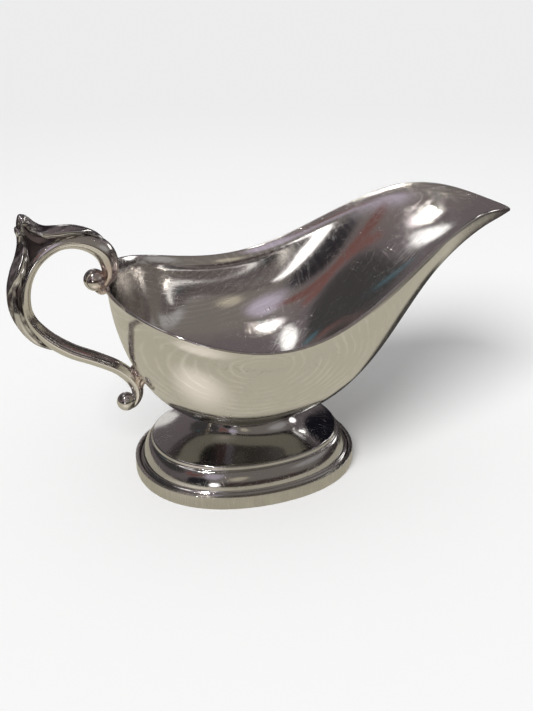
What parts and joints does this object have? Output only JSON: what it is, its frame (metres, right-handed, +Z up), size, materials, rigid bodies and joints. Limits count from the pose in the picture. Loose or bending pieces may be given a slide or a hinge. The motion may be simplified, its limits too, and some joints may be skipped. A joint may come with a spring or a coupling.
{
  "type": "sauce boat",
  "caption": "Footed oval sauce boat with a flared rim, a long raised pouring spout, a leaf-capped scroll handle with ball ends and a stepped oval foot.",
  "frame": {"origin": "on the surface it stands on, under the middle of the overall length and width", "axes": "+X from the handle towards the spout's tip, +Y across the boat, +Z up"},
  "size_m": [0.2028, 0.1068, 0.1131],
  "materials": {
    "plate_polished": "polished silver plate with fine wear scratches",
    "plate_brushed": "satin silver plate with fine upright marks",
    "plate_oxidised": "cast silver plate, tarnished in the hollows",
    "solder_seam": "plated solder, slightly dull"
  },
  "bodies": {
    "root": {"bowl": "plate_polished", "foot_dome": "plate_polished", "foot_band": "plate_brushed", "foot_solder_bead": "solder_seam", "handle_arm": "plate_polished", "handle_thumb_leaf": "plate_oxidised", "handle_back_leaf": "plate_oxidised", "handle_upper_ball": "plate_polished", "handle_lower_ball": "plate_polished", "handle_rim_solder": "solder_seam", "handle_wall_solder": "solder_seam"}
  },
  "joints": []
}
